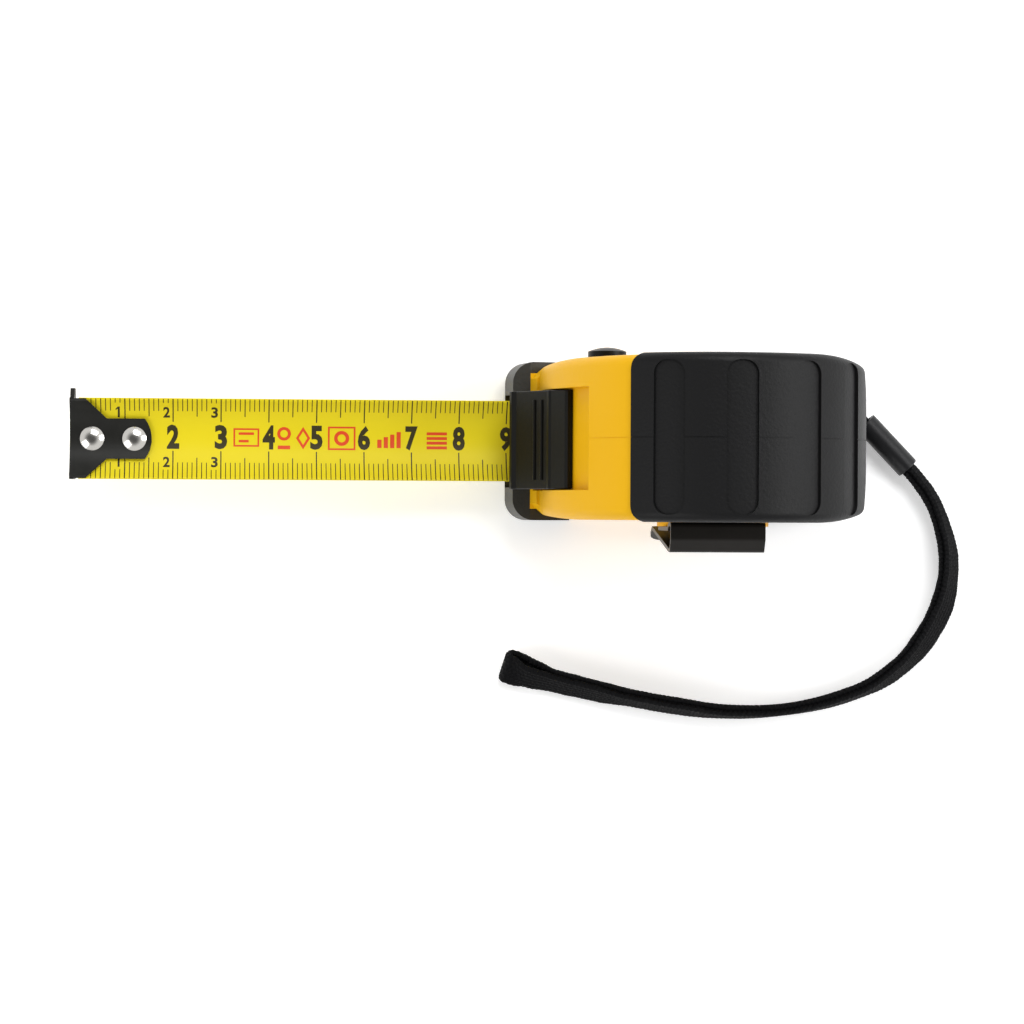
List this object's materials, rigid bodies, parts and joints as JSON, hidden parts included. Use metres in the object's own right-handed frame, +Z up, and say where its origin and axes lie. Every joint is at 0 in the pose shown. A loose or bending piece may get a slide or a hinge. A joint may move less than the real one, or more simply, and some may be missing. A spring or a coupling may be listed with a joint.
{
  "type": "tape measure",
  "caption": "Retractable pocket tape measure with a curved steel blade and end hook partly out, a thumb lock, a side stop button, a rubber grip, a belt clip and a wrist strap.",
  "frame": {"origin": "on the base plane, halfway along the case without its strap, on the plane where the two case halves meet", "axes": "+Z up from the base on which it stands; the blade comes out towards -X; the stop button's side is +Y and the belt clip's side is -Y"},
  "size_m": [0.1886, 0.0787, 0.0612],
  "materials": {
    "yellow_shell": "satin moulded",
    "grip_rubber": "soft matte",
    "bumper_rubber": "soft matte",
    "lock_plastic": "satin moulded",
    "blade_paint": "glossy lacquer with a printed scale",
    "coil_paint": "glossy lacquer",
    "spring_steel": "blued strip",
    "black_steel": "satin black",
    "nickel": "polished nickel",
    "zinc": "zinc plated",
    "black_screw": "black oxide",
    "inner_plastic": "moulded",
    "brake_rubber": "soft matte",
    "label": "blank printed disc",
    "webbing": "woven nylon",
    "cord": "braided nylon",
    "sleeve": "satin moulded"
  },
  "bodies": {
    "case": {"case_left": "yellow_shell", "case_right": "yellow_shell", "grip_left": "grip_rubber", "grip_right": "grip_rubber", "bumper_left": "bumper_rubber", "bumper_right": "bumper_rubber", "mouth_guide": "inner_plastic", "reel_arbor": "inner_plastic", "lever_pin": "zinc", "belt_clip": "black_steel", "clip_screw": "black_screw", "case_screws": "zinc", "side_label": "label", "strap_pin": "zinc", "strap_string": "cord", "strap_sleeve": "sleeve", "strap_webbing": "webbing"},
    "reel": {"reel_drum": "inner_plastic", "reel_flange": "inner_plastic", "blade_coil": "coil_paint", "power_spring": "spring_steel"},
    "blade": {"blade": "blade_paint", "hook_rivets": "nickel"},
    "hook": {"end_hook": "black_steel"},
    "lock": {"lock_slider": "lock_plastic"},
    "lever": {"lock_lever": "inner_plastic", "brake_shoe": "brake_rubber"},
    "button": {"stop_button": "lock_plastic", "button_pad": "brake_rubber", "button_spring": "spring_steel"}
  },
  "joints": [
    {"name": "reel_spin", "type": "hinge", "parent": "case", "child": "reel", "pos_m": [0.00575, 0, 0.03], "axis": [0, -1, 0], "range_deg": [0, 199], "deforming": ["power_spring"]},
    {"name": "blade_slide", "type": "slide", "parent": "case", "child": "blade", "axis": [0.9962, 0, -0.0872], "range_m": [0, 0.08896], "deforming": ["blade"]},
    {"name": "hook_play", "type": "slide", "parent": "blade", "child": "hook", "axis": [0.9962, 0, -0.0872], "range_m": [0, 0.0009]},
    {"name": "lock_slide", "type": "slide", "parent": "case", "child": "lock", "axis": [0.3236, 0, 0.9462], "range_m": [0, 0.008]},
    {"name": "lever_turn", "type": "hinge", "parent": "case", "child": "lever", "pos_m": [-0.02565, 0, 0.01264], "axis": [0, -1, 0], "range_deg": [0, 8]},
    {"name": "button_press", "type": "slide", "parent": "case", "child": "button", "axis": [0, -1, 0], "range_m": [0, 0.0012], "stiffness_N_per_m": 600, "springref_m": -0.001, "deforming": ["button_spring"]}
  ],
  "couplings": [
    {"joint": "blade_slide", "follows": "reel_spin", "m_per_rad": 0.0256},
    {"joint": "lever_turn", "follows": "lock_slide", "rad_per_m": 17.453}
  ]
}
